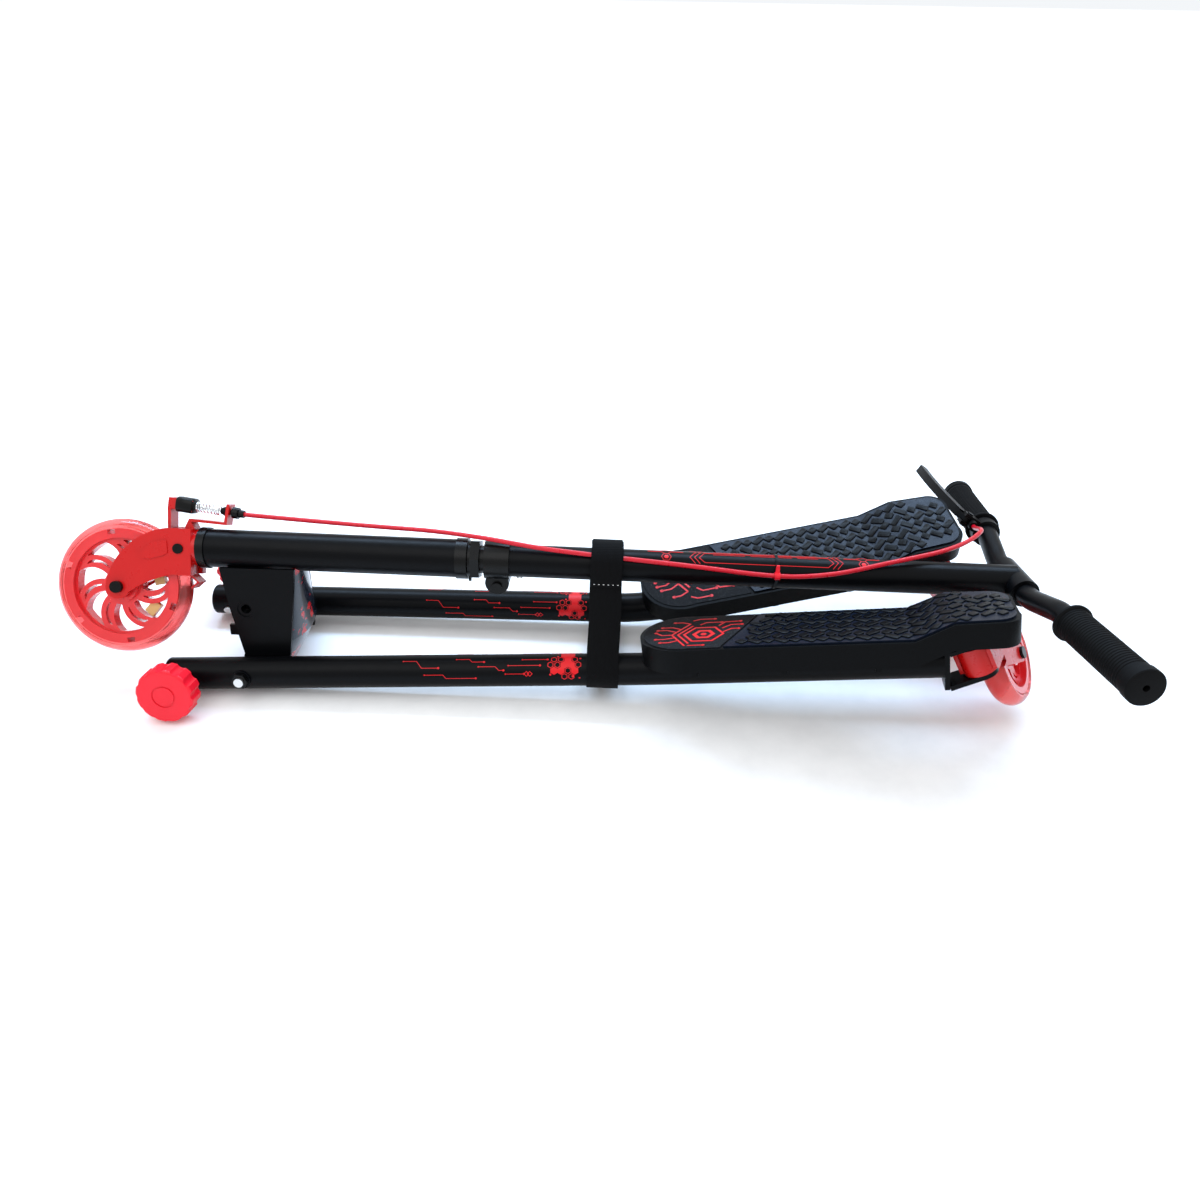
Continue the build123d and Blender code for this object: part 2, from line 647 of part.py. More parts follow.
def deck_profile(drop, thick, start, end):
    """A strip under the deck's top line: flat, up the step, then flat again."""
    low, high = DECK_TOP - drop, DECK_TOP + DECK_STEP - drop
    points = [(start, low), (STEP_START, low), (STEP_END, high), (end, high), (end, high - thick)]
    points += [(STEP_END, high - thick), (STEP_START, low - thick), (start, low - thick)]
    return slab_y(make_face(Polyline(*points, close=True)), -100, 100)


def prism(face, low, high):
    return Pos(0, 0, low) * extrude(face, high - low)


def deck(side):
    """A moulded shell: top skin, skirt and two saddles on the arm."""
    block = prism(deck_outline(0), -20, 90)
    hollow = prism(deck_outline(DECK_WALL), -30, 90)
    body = block & deck_profile(0, SKIRT, -10, DECK_L + 10)
    body -= hollow & deck_profile(DECK_WALL, 60, -20, DECK_L + 20)
    saddles = []
    for x in (60, 150, 240):
        rib = box_at(x - 3, x + 3, -DECK_HALF + DECK_WALL, DECK_HALF - DECK_WALL, DECK_TOP - 31, DECK_TOP - DECK_WALL)
        saddles.append(rib & hollow)
    return deck_frame(side) * (body + saddles) - arm_frame(side) * arm_rod(side, ARM_OD / 2 + 0.1)


def grip_tape(side):
    """The printed sheet on the nose, cut slantwise at the back."""
    sheet = deck_outline(4)
    near, far = CUT_X + side * 60 * CUT_LEAN, CUT_X - side * 60 * CUT_LEAN
    cut = make_face(Polyline((-20, -60), (near, -60), (far, 60), (-20, 60), close=True))
    tape = prism(sheet & cut, DECK_TOP + 0.02, DECK_TOP + 0.8)
    return deck_frame(side) * tape


def tread(side):
    """The rubber tread on the rest of the deck, following the step."""
    sheet = deck_outline(4)
    near, far = CUT_X + CUT_GAP + side * 60 * CUT_LEAN, CUT_X + CUT_GAP - side * 60 * CUT_LEAN
    cut = make_face(Polyline((near, -60), (DECK_L + 30, -60), (DECK_L + 30, 60), (far, 60), close=True))
    pad = prism(sheet & cut, 0, 90) & deck_profile(-TREAD_T, TREAD_T - 0.02, 0, DECK_L + 10)
    return deck_frame(side) * pad


def neck_bracket(side):
    """The steel C that closes the arm's end and holds the kingpin top and bottom."""
    reach = 15.0
    half = 15.0
    below = box_at(-34, 0, -half, half, -6, -1) + rod_z(reach, -6, -1)
    above = box_at(-22, 0, -half, half, NECK_H + 1, NECK_H + 5) + rod_z(reach, NECK_H + 1, NECK_H + 5)
    web = deck_local(box_at(ARM_END + 0.05, ARM_END + 5, -half, half, -26, 27))
    cheek = deck_local(box_at(ARM_END + 0.05, 400, -60, 60, -60, 60))
    body = (below + above) & cheek
    body = body + web
    body -= rod_z(KING_D / 2 + SEAT, -20, 60)
    return neck_frame(side) * body


def deck_local(shape):
    """A shape given in the deck's frame, moved into the neck's frame."""
    return (Pos(NECK_X, 0, NECK_Z) * turn_y(-NECK_TILT)).inverse() * shape


def kingpin(side):
    shank = rod_z(KING_D / 2, -6, NECK_H + 5)
    head = rod_z(6.5, -10, -6)
    nut = Pos(0, 0, NECK_H + 5) * extrude(RegularPolygon(6.5, 6, major_radius=False), 4)
    return neck_frame(side) * (shank + head + nut)


# ---------------------------------------------------------------- casters and knobs
def caster_fork(side):
    """Neck barrel with two trailing legs."""
    barrel = rod_z(NECK_R, -0.6, NECK_H + 0.6)
    leg_face = make_hull([*Rectangle(26, 22).moved(Location((4, 13))).edges(),
                          *Circle(9.5).moved(Location((TRAIL, -DROP))).edges()])
    legs = [slab_y(leg_face, end * CASTER_LEG, end * (CASTER_LEG + CASTER_LEG_T)) for end in (-1, 1)]
    bridge = box_at(0, 17, -CASTER_LEG - 0.1, CASTER_LEG + 0.1, 4, 24)
    body = barrel + legs[0] + legs[1] + bridge
    body -= rod_z(KING_D / 2 + SEAT, -20, 60)
    body -= Pos(TRAIL, 0, -DROP) * rod_y(AXLE_D / 2 + SEAT, -40, 40)
    keep_in = prism(Rectangle(400, 400), -80, NECK_H + 0.6) - prism(Circle(NECK_R + 12), -8, -0.6)
    return caster_frame(side) * (body & keep_in)


def caster_axle(side):
    width = CASTER_LEG + CASTER_LEG_T
    return caster_frame(side) * Pos(TRAIL, 0, -DROP) * axle_bolt(width + 0.1, 3, AXLE_D)


def caster_place(side):
    return caster_frame(side) * Pos(TRAIL, 0, -DROP)


KNOB_R, KNOB_IN, KNOB_OUT = 30.0, 37.0, 57.5


def knob(side):
    """A twelve-lobed moulded knob with a dished face."""
    body = rod_y(KNOB_R, KNOB_IN, KNOB_OUT)
    body = fillet(body.edges().filter_by(GeomType.CIRCLE).sort_by(Axis.Y)[-1], 3)
    grooves = []
    for index in range(12):
        spot = turn_y(index * 30) * Pos(KNOB_R + 5, 0, 0)
        grooves.append(spot * rod_y(7, KNOB_IN - 1, KNOB_OUT + 1))
    dish = pipe_y(12.5, 10.5, KNOB_OUT - 1, KNOB_OUT + 1)
    collar_part = rod_y(9, KNOB_IN - 3, KNOB_IN + 1)
    socket = rod_y(BOLT_D / 2 + SEAT, KNOB_IN - 10, KNOB_IN + 12)
    shape = body - grooves - dish + collar_part - socket
    if side < 0:
        shape = mirror(shape, Plane.XZ)
    return arm_frame(side) * Pos(-LOCK_ARM, 0, 0) * shape


def lock_stud(side):
    tip = -(ARM_OD / 2 + BOSS_T - GAP)
    stud = rod_y(BOLT_D / 2, side * tip, side * (KNOB_IN + 11.9))
    return arm_frame(side) * Pos(-LOCK_ARM, 0, 0) * stud


# ---------------------------------------------------------------- cable and strap
CABLE_ROUTE = [
    (110, 17.2, 29.6), (185, 15.0, 26.8), (258, 11.0, 26.4), (318, -1.0, 26.6), (371, -9.5, 22.6),
    (435, -12.0, 17.8), (530, -16.5, 13.0), (604, -19.4, 7.0), (646, -19.8, 6.2), (690, -17.6, 11.6),
    (730, -10.5, 19.6), (766, -1.0, 24.0), (797, 9.5, 26.2), (824, 25.0, 26.8), (845, 43.0, 27.0), (861, 64.0, 25.5),
]


def cable_start():
    """Where the outer casing leaves the adjuster, in the column's frame."""
    return (FORK * pull_line() * Pos(46.3, 0, 0)).position


def cable_mouth():
    """Where the casing is clear of the adjuster."""
    return (FORK * pull_line() * Pos(56, 0, 0)).position


def cable_throat():
    """Where the casing is clear of the lever's socket."""
    return (STEM * perch_frame() * Pos(WIRE_OUT, -19, 0)).position


def cable_end():
    """Where it enters the lever's socket."""
    return (STEM * perch_frame() * Pos(WIRE_OUT, -9.2, 0)).position


def corner_radii(points):
    """The largest arc that each corner's two runs leave room for."""
    radii = []
    for before, here, after in zip(points, points[1:], points[2:]):
        first, second = here - before, after - here
        half_turn = radians(first.get_angle(second)) / 2
        radii.append(0.45 * min(first.length, second.length) / tan(half_turn))
    return radii


def cable():
    points = [cable_start(), cable_mouth()] + [Vector(*p) for p in CABLE_ROUTE] + [cable_throat(), cable_end()]
    radii = corner_radii(points)
    line = FilletPolyline(*points, radius=radii)
    print("cable corner radii", [round(r) for r in radii], "length", round(line.length))
    casing = sweep(Plane(origin=line @ 0, z_dir=line % 0) * Circle(CABLE_D / 2), line)
    print("cable volume over section x length", round(casing.volume / (3.14159265 * CABLE_D ** 2 / 4 * line.length), 4))
    return casing


def cable_tie():
    """A tie round stem and cable."""
    spot_y, spot_z = -19.6, 6.6
    across = STEM_OD / 2 + 0.15
    inner = make_hull([*Circle(across).edges(), *Circle(CABLE_D / 2 + 0.15).moved(Location((spot_y, spot_z))).edges()])
    outer = make_hull([*Circle(across + 1.2).edges(),
                       *Circle(CABLE_D / 2 + 1.35).moved(Location((spot_y, spot_z))).edges()])
    band = extrude(Plane.YZ * (outer - inner), 3.6)
    lock = Pos(-0.6, spot_y + 1.5, spot_z + 4.4) * turn_x(-30) * box_at(0, 4.8, -3, 3, 0, 4)
    return Pos(622, 0, 0) * (band + (lock - extrude(Plane.YZ * inner, 6)))


def strap_hull(grow):
    """The taut loop round the column and both arms, seen along X."""
    spots = [Circle(STEM_OD / 2 + CABLE_D + 1.2 + grow).moved(Location((-1.5, 1.5)))]
    for side in (-1, 1):
        centre = (arm_frame(side) * Pos(STRAP_X - PIVOT_X, 0, 0)).position
        spots.append(Circle(ARM_OD / 2 + 1.0 + grow).moved(Location((centre.Y, centre.Z))))
    return make_hull([edge for spot in spots for edge in spot.edges()])


def strap():
    loop = strap_hull(STRAP_T) - strap_hull(0)
    return Pos(STRAP_X - STRAP_W / 2, 0, 0) * extrude(Plane.YZ * loop, STRAP_W)


# ---------------------------------------------------------------- assembly
def build():
    keep("head_tube", head_tube())
    keep("headset_lower", headset(4.5, HEAD_START - 0.05, HEAD_START + 12, HEAD_OD / 2 + 1.6))
    keep("headset_upper", headset(HEAD_END + 0.05, 293.5, HEAD_END - 12, HEAD_OD / 2 + 1.4))
    keep("bracket", bracket())
    keep("bracket_shield", bracket_shield())
    keep("strap", strap())

    keep("steerer", steerer())
    keep("fork", fork())
    keep("front_axle", front_axle())
    keep("brake_pivot", brake_pivot())
    keep("cable_bracket", cable_bracket())
    keep("cable_adjuster", cable_adjuster())
    keep("wire_boot", wire_boot())
    keep("brake_spring", brake_spring())
    keep("headset_nut", headset_nut())
    keep("brake_arm", pinned(brake_arm()))
    keep("brake_clevis", clevis())

    front = front_wheel_place()
    keep("front_tyre", front * tyre(WHEEL_R, RIM_R + SEAT, TYRE_W))
    keep("front_hub", front * front_hub())

    keep("stem_tube", stem_tube())
    keep("handlebar", handlebar())
    keep("collar", collar())
    keep("collar_bolt", collar_bolt())
    keep("push_button", push_button())
    keep("lever_perch", lever_perch())
    keep("brake_lever", brake_lever())
    keep("brake_cable", cable())
    keep("cable_tie", cable_tie())

    for side, name in ((-1, "left"), (1, "right")):
        keep(f"grip_{name}", grip(side))
        keep(f"pivot_bolt_{name}", pivot_bolt(side))
        keep(f"pivot_nut_{name}", pivot_nut(side))
        keep(f"arm_tube_{name}", arm_tube(side))
        keep(f"tail_cap_{name}", tail_cap(side))
        keep(f"deck_{name}", deck(side))
        keep(f"grip_tape_{name}", grip_tape(side))
        keep(f"tread_{name}", tread(side))
        keep(f"neck_bracket_{name}", neck_bracket(side))
        keep(f"kingpin_{name}", kingpin(side))
        keep(f"caster_fork_{name}", caster_fork(side))
        keep(f"caster_axle_{name}", caster_axle(side))
        place = caster_place(side)
        keep(f"caster_tyre_{name}", place * tyre(CASTER_R, CASTER_RIM + SEAT, CASTER_W))
        keep(f"caster_hub_{name}", place * caster_hub())
        keep(f"knob_{name}", knob(side))
        keep(f"lock_stud_{name}", lock_stud(side))


def lay_down():
    """Pitch the column so that the knobs and the lower caster touch the ground together."""
    knob_low = min(parts["knob_left"].bounding_box().min.Z, parts["knob_right"].bounding_box().min.Z)
    tyre_box = parts["caster_tyre_right"].bounding_box()
    run = tyre_box.center().X - (PIVOT_X - LOCK_ARM)
    pitch = degrees(atan((tyre_box.min.Z - knob_low) / run))
    tilt = turn_y(pitch)
    whole = Compound([tilt * shape for shape in parts.values()]).bounding_box()
    centre = whole.center()
    return Pos(-centre.X, -centre.Y, -whole.min.Z) * tilt


if __name__ == "__main__":
    build()
    ground = lay_down()
    os.makedirs("parts", exist_ok=True)
    for name, shape in parts.items():
        export_step(ground * shape, f"parts/{name}.step")
    print("nodes", len(parts), "column frame at", ground)
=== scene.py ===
import json
import math

import bmesh
import bpy
from mathutils import Matrix, Vector


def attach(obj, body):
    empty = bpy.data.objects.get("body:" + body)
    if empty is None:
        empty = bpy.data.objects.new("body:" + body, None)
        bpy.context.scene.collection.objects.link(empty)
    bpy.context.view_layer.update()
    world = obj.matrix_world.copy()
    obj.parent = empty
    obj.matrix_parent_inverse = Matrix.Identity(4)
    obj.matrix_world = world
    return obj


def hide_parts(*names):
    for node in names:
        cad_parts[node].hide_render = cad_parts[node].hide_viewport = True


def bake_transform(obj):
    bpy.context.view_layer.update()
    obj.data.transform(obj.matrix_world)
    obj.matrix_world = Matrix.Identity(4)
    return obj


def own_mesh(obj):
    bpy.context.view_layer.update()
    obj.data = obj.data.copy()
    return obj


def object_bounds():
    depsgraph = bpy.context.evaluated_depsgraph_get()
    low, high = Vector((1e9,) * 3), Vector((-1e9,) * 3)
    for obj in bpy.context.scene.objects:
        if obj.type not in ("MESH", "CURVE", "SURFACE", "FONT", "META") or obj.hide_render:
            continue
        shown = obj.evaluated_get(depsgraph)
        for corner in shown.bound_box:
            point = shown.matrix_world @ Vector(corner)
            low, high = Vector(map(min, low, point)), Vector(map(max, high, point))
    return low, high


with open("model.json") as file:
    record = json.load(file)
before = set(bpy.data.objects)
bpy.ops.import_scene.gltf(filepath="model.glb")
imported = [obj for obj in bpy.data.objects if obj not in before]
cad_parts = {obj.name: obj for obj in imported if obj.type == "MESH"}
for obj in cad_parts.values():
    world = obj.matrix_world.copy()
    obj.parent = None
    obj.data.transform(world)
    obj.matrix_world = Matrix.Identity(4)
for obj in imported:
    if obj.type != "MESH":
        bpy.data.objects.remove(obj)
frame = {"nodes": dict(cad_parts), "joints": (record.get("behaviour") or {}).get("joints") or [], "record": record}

CAD_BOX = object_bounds()
MM = 0.001
SIDES = ((-1, "left"), (1, "right"))
NODES = frame["nodes"]
JOINTS = {joint["name"]: joint for joint in frame["joints"]}

# sizes that the looks share with the frame, mm and degrees
FORK_TURN, STEM_TURN = -28.7, -9.0
ARM_LIFT = {-1: -3.24, 1: -1.67}
TUBE_R = 17.5
BEND_X, TOE, PITCH = 434.0, 10.7, 6.3
DECK_L, DECK_HALF, DECK_TOP, DECK_STEP = 371.0, 46.0, 40.0, 15.5
STEP_START, STEP_END = 274.0, 310.0
TREAD_T, TAPE_T = 2.0, 0.8
CUT_X, CUT_LEAN, CUT_GAP = 104.0, 0.4, 4.0
PIVOT_X = 55.4
STRAP_X, TIE_X, TIE_W = 443, 622, 3    # along the column
GRIP_START = 123

# the camera in the column's frame: yaw, rise and roll in degrees, place and lens in mm
CAMERA_ANGLES = (-0.61, 34.75, -2.05)
CAMERA_PLACE = (445.89, -845.46, 539.28)
CAMERA_LENS = 27.82


# ---------------------------------------------------------------- frames, as the CAD has them
def axes(origin, x, y):
    x = Vector(x).normalized()
    y = Vector(y)
    y = (y - x * y.dot(x)).normalized()
    matrix = Matrix((x, y, x.cross(y))).transposed().to_4x4()
    matrix.translation = Vector(origin)
    return matrix


def turned(matrix, axis, degrees):
    return matrix @ Matrix.Rotation(math.radians(degrees), 4, axis)


def moved(matrix, x, y, z):
    return matrix @ Matrix.Translation(Vector((x, y, z)) * MM)


COLUMN = axes(JOINTS["steering"]["pos_m"], JOINTS["steering"]["axis"], (0, 1, 0))
FORK = turned(COLUMN, "X", FORK_TURN)
STEM = turned(COLUMN, "X", STEM_TURN)
PULL = turned(moved(FORK, -2, 0, 44), "Y", 7.02)
ARM, DECK = {}, {}
for side, name in SIDES:
    fold = JOINTS[f"arm_fold_{name}"]
    pivot = axes(fold["pos_m"], JOINTS["steering"]["axis"], fold["axis"])
    ARM[side] = turned(pivot, "Y", ARM_LIFT[side])
    DECK[side] = turned(turned(moved(ARM[side], BEND_X, 0, 0), "Z", side * TOE), "Y", -PITCH)


# ---------------------------------------------------------------- camera, light and floor
def make_camera():
    yaw, rise, roll = (math.radians(v) for v in CAMERA_ANGLES)
    ahead = Vector((math.sin(yaw) * math.cos(rise), math.cos(yaw) * math.cos(rise), -math.sin(rise)))
    right = Vector((math.cos(yaw), -math.sin(yaw), 0))
    down = ahead.cross(right)
    right_r = right * math.cos(roll) + down * math.sin(roll)
    down_r = down * math.cos(roll) - right * math.sin(roll)
    local = Matrix((right_r, -down_r, -ahead)).transposed().to_4x4()
    local.translation = Vector(CAMERA_PLACE) * MM
    data = bpy.data.cameras.new("camera")
    data.lens = CAMERA_LENS
    data.sensor_width = 36
    data.clip_start = 0.01
    camera = bpy.data.objects.new("camera", data)
    bpy.context.scene.collection.objects.link(camera)
    camera.matrix_world = COLUMN @ local
    bpy.context.scene.camera = camera


def area_light(name, place, aim, size, power, colour=(1, 1, 1)):
    data = bpy.data.lights.new(name, "AREA")
    data.shape = "RECTANGLE"
    data.size, data.size_y = size
    data.energy = power
    data.color = colour
    light = bpy.data.objects.new(name, data)
    bpy.context.scene.collection.objects.link(light)
    light.location = place
    light.rotation_euler = (Vector(aim) - Vector(place)).to_track_quat("-Z", "Y").to_euler()


def make_lights():
    world = bpy.data.worlds.new("studio")
    bpy.context.scene.world = world
    world.use_nodes = True
    world.node_tree.nodes["Background"].inputs["Color"].default_value = (0.95, 0.975, 1, 1)
    world.node_tree.nodes["Background"].inputs["Strength"].default_value = 0.95
    area_light("key", (-0.5, -0.9, 1.7), (0, 0, 0), (1.6, 1.2), 9)
    area_light("strip", (0.1, 0.75, 1.25), (0.1, 0, 0), (2.4, 0.35), 34, (0.5, 0.72, 1))
    data = bpy.data.lights.new("sky", "SUN")
    data.energy = 0.7
    data.angle = math.radians(120)
    bpy.context.scene.collection.objects.link(bpy.data.objects.new("sky", data))
    bpy.context.scene.view_settings.view_transform = "Standard"


def make_floor():
    low = CAD_BOX[0][2]
    bpy.ops.mesh.primitive_plane_add(size=40, location=(0, 0, low - 0.0005))
    floor = bpy.context.object
    floor.name = "floor"
    floor.data.materials.append(simple_material("floor_paper", (0.93, 0.935, 0.94), 0.75, 0, bump=(60, 0.02)))


# ---------------------------------------------------------------- materials
def base_nodes(name):
    material = bpy.data.materials.new(name)
    material.use_nodes = True
    tree = material.node_tree
    return material, tree, tree.nodes["Principled BSDF"]


def texture(tree, kind, scale, stretch=(1, 1, 1), **sockets):
    """A texture node in object space, scale in features per metre."""
    where = tree.nodes.new("ShaderNodeTexCoord")
    mapping = tree.nodes.new("ShaderNodeMapping")
    mapping.inputs["Scale"].default_value = stretch
    node = tree.nodes.new(kind)
    tree.links.new(where.outputs["Object"], mapping.inputs["Vector"])
    tree.links.new(mapping.outputs["Vector"], node.inputs["Vector"])
    node.inputs["Scale"].default_value = scale
    for key, value in sockets.items():
        node.inputs[key].default_value = value
    return node


def spread(tree, source, low, high, low_in=0.0, high_in=1.0):
    node = tree.nodes.new("ShaderNodeMapRange")
    tree.links.new(source, node.inputs["Value"])
    node.inputs["From Min"].default_value = low_in
    node.inputs["From Max"].default_value = high_in
    node.inputs["To Min"].default_value = low
    node.inputs["To Max"].default_value = high
    return node.outputs["Result"]


def mix_colours(tree, factor, first, second):
    node = tree.nodes.new("ShaderNodeMix")
    node.data_type = "RGBA"
    for socket, value in (("A", first), ("B", second)):
        target = [s for s in node.inputs if s.name == socket and s.type == "RGBA"][0]
        if isinstance(value, tuple):
            target.default_value = (*value, 1)
        else:
            tree.links.new(value, target)
    tree.links.new(factor, node.inputs[0])
    return [s for s in node.outputs if s.type == "RGBA"][0]


def add_bump(tree, shader, height, strength, distance=0.001, below=None):
    node = tree.nodes.new("ShaderNodeBump")
    node.inputs["Strength"].default_value = strength
    node.inputs["Distance"].default_value = distance
    tree.links.new(height, node.inputs["Height"])
    if below is not None:
        tree.links.new(below, node.inputs["Normal"])
    tree.links.new(node.outputs["Normal"], shader.inputs["Normal"])
    return node.outputs["Normal"]


def simple_material(name, colour, roughness, metallic, bump=None, coat=0.0, gloss=0.5, shade=0.12, wear=0.06):
    """Colour and roughness that wander a little, with a fine surface grain."""
    material, tree, shader = base_nodes(name)
    shader.inputs["Metallic"].default_value = metallic
    shader.inputs["Coat Weight"].default_value = coat
    shader.inputs["Coat Roughness"].default_value = 0.12
    shader.inputs["Specular IOR Level"].default_value = gloss
    broad = texture(tree, "ShaderNodeTexNoise", 22, Detail=5.0, Roughness=0.6)
    darker = tuple(c * (1 - shade) for c in colour)
    lighter = tuple(min(1, c * (1 + shade)) for c in colour)
    tree.links.new(mix_colours(tree, broad.outputs["Fac"], darker, lighter), shader.inputs["Base Color"])
    smear = texture(tree, "ShaderNodeTexNoise", 70, Detail=6.0, Roughness=0.7)
    rough = spread(tree, smear.outputs["Fac"], roughness - wear, roughness + wear, 0.3, 0.7)
    tree.links.new(rough, shader.inputs["Roughness"])
    if bump:
        grain = texture(tree, "ShaderNodeTexNoise", bump[0], Detail=3.0)
        add_bump(tree, shader, grain.outputs["Fac"], bump[1], 0.0006)
    return material


def clear_tyre():
    """Tinted clear urethane."""
    material, tree, shader = base_nodes("clear_urethane")
    cloud = texture(tree, "ShaderNodeTexNoise", 30, Detail=3.0)
    tint = mix_colours(tree, cloud.outputs["Fac"], (1.0, 0.11, 0.11), (1.0, 0.20, 0.18))
    tree.links.new(tint, shader.inputs["Base Color"])
    shader.inputs["Transmission Weight"].default_value = 0.86
    shader.inputs["IOR"].default_value = 1.4
    scuff = texture(tree, "ShaderNodeTexNoise", 120, Detail=5.0)
    tree.links.new(spread(tree, scuff.outputs["Fac"], 0.06, 0.2), shader.inputs["Roughness"])
    return material


def clear_hub():
    """Translucent red moulding, deeper where it is thick."""
    material, tree, shader = base_nodes("red_moulding")
    cloud = texture(tree, "ShaderNodeTexNoise", 26, Detail=4.0)
    tint = mix_colours(tree, cloud.outputs["Fac"], (0.74, 0.012, 0.018), (0.9, 0.03, 0.035))
    tree.links.new(tint, shader.inputs["Base Color"])
    shader.inputs["Transmission Weight"].default_value = 0.28
    shader.inputs["Subsurface Weight"].default_value = 0.15
    shader.inputs["Subsurface Radius"].default_value = (0.01, 0.002, 0.002)
    shader.inputs["Coat Weight"].default_value = 0.3
    scuff = texture(tree, "ShaderNodeTexNoise", 90, Detail=5.0)
    tree.links.new(spread(tree, scuff.outputs["Fac"], 0.16, 0.32), shader.inputs["Roughness"])
    return material


def webbing():
    """Ribs along the strap with a fine cross thread; the rib troughs are painted darker as shade."""
    material, tree, shader = base_nodes("strap_webbing")
    ribs = texture(tree, "ShaderNodeTexWave", 260, Distortion=0.6, Detail=1.0)
    ribs.bands_direction = "X"
    cross = texture(tree, "ShaderNodeTexWave", 340, Distortion=1.2, Detail=1.0)
    cross.bands_direction = "Z"
    fuzz = texture(tree, "ShaderNodeTexNoise", 900, Detail=3.0)
    # the colour follows the ribs' bump height: darker in the troughs as painted shade, lighter on the crests
    tint = mix_colours(tree, ribs.outputs["Fac"], (0.0006, 0.0006, 0.0008), (0.003, 0.003, 0.0036))
    tree.links.new(tint, shader.inputs["Base Color"])
    shader.inputs["Roughness"].default_value = 0.86
    shader.inputs["Sheen Weight"].default_value = 0.015
    shader.inputs["Specular IOR Level"].default_value = 0.1
    first = add_bump(tree, shader, ribs.outputs["Fac"], 0.6, 0.0004)
    second = add_bump(tree, shader, cross.outputs["Fac"], 0.4, 0.0003, first)
    add_bump(tree, shader, fuzz.outputs["Fac"], 0.25, 0.0002, second)
    return material


def gritty_tape():
    """Dark grit with pale glinting grains."""
    material, tree, shader = base_nodes("grit_tape")
    grains = texture(tree, "ShaderNodeTexVoronoi", 1400)
    glint = spread(tree, grains.outputs["Distance"], 1, 0, 0.05, 0.3)
    choose = texture(tree, "ShaderNodeTexNoise", 900, Detail=2.0)
    sparse = spread(tree, choose.outputs["Fac"], 0, 1, 0.52, 0.66)
    both = tree.nodes.new("ShaderNodeMath")
    both.operation = "MULTIPLY"
    tree.links.new(glint, both.inputs[0])
    tree.links.new(sparse, both.inputs[1])
    tree.links.new(mix_colours(tree, both.outputs[0], (0.004, 0.0045, 0.006), (0.3, 0.32, 0.35)),
                   shader.inputs["Base Color"])
    shader.inputs["Roughness"].default_value = 0.8
    shader.inputs["Specular IOR Level"].default_value = 0.2
    add_bump(tree, shader, grains.outputs["Distance"], 0.8, 0.0004)
    return material


def printed_shield():
    """Black gloss, tinted blue-grey as a painted sky reflection, with a scatter of red cells."""
    material, tree, shader = base_nodes("shield_print")
    cells = texture(tree, "ShaderNodeTexVoronoi", 130)
    clouds = texture(tree, "ShaderNodeTexNoise", 24, Detail=3.0, Roughness=0.65)
    mask = tree.nodes.new("ShaderNodeMath")
    mask.operation = "ADD"
    tree.links.new(clouds.outputs["Fac"], mask.inputs[0])
    tree.links.new(spread(tree, cells.outputs["Color"], -0.1, 0.1), mask.inputs[1])
    sharp = spread(tree, mask.outputs[0], 0, 1, 0.535, 0.555)
    # the lighter blue-black colour is a painted reflection of the sky on the black sticker; the red cells are
    # print
    colour = mix_colours(tree, sharp, (0.008, 0.011, 0.02), (0.5, 0.01, 0.015))
    tree.links.new(colour, shader.inputs["Base Color"])
    shader.inputs["Roughness"].default_value = 0.24
    shader.inputs["Coat Weight"].default_value = 0.6
    return material


def rib_rubber():
    material, tree, shader = base_nodes("grip_rubber")
    grain = texture(tree, "ShaderNodeTexNoise", 1500, Detail=3.0)
    dust = texture(tree, "ShaderNodeTexNoise", 40, Detail=5.0)
    tree.links.new(mix_colours(tree, dust.outputs["Fac"], (0.001, 0.001, 0.0012), (0.003, 0.003, 0.0034)),
                   shader.inputs["Base Color"])
    shader.inputs["Specular IOR Level"].default_value = 0.08
    tree.links.new(spread(tree, dust.outputs["Fac"], 0.5, 0.72), shader.inputs["Roughness"])
    add_bump(tree, shader, grain.outputs["Fac"], 0.35, 0.0003)
    return material


MATERIALS = {
    "black_paint": simple_material(
        "black_powder_coat", (0.0018, 0.002, 0.0026), 0.33, 0, (1100, 0.12), 0, 0.08),
    "black_steel": simple_material("blackened_steel", (0.002, 0.002, 0.002), 0.3, 0, (700, 0.1), 0, 0.16),
    "red_paint": simple_material("red_gloss_paint", (0.50, 0.004, 0.004), 0.3, 0, (800, 0.08), 0.1, 0.3),
    "zinc": simple_material("zinc_plate", (0.62, 0.62, 0.60), 0.32, 1, (900, 0.1)),
    "spring_steel": simple_material("bright_spring", (0.78, 0.78, 0.78), 0.18, 1, (900, 0.05)),
    "shield_plastic": printed_shield(),
    "strap_webbing": webbing(),
    "black_plastic": simple_material("black_moulding", (0.0018, 0.0018, 0.002), 0.4, 0, (1600, 0.2), 0, 0.1),
    "deck_plastic": simple_material("deck_moulding", (0.0014, 0.0016, 0.002), 0.42, 0, (2200, 0.35), 0, 0.07),
    "red_plastic": simple_material("knob_moulding", (0.76, 0.007, 0.022), 0.36, 0, (1200, 0.12), 0, 0.3),
    "red_hub": clear_hub(),
    "clear_red": clear_tyre(),
    "red_cable": simple_material("cable_casing", (0.52, 0.002, 0.015), 0.3, 0, (900, 0.06), 0.1, 0.3),
    "grip_rubber": rib_rubber(),
    "boot_rubber": simple_material("boot_rubber", (0.002, 0.002, 0.002), 0.5, 0, (1500, 0.2), 0, 0.1),
    # the tread sheet's blue tint is a painted highlight: it stands in for the bluish light caught in the grooves
    # between the pads
    "tread_rubber": simple_material("tread_rubber", (0.002, 0.005, 0.014), 0.3, 0, (1800, 0.3), 0, 0.17),
    "grip_tape": gritty_tape(),
}
RED_INK = simple_material("red_ink", (0.62, 0.004, 0.008), 0.4, 0, (900, 0.05), 0, 0.25)
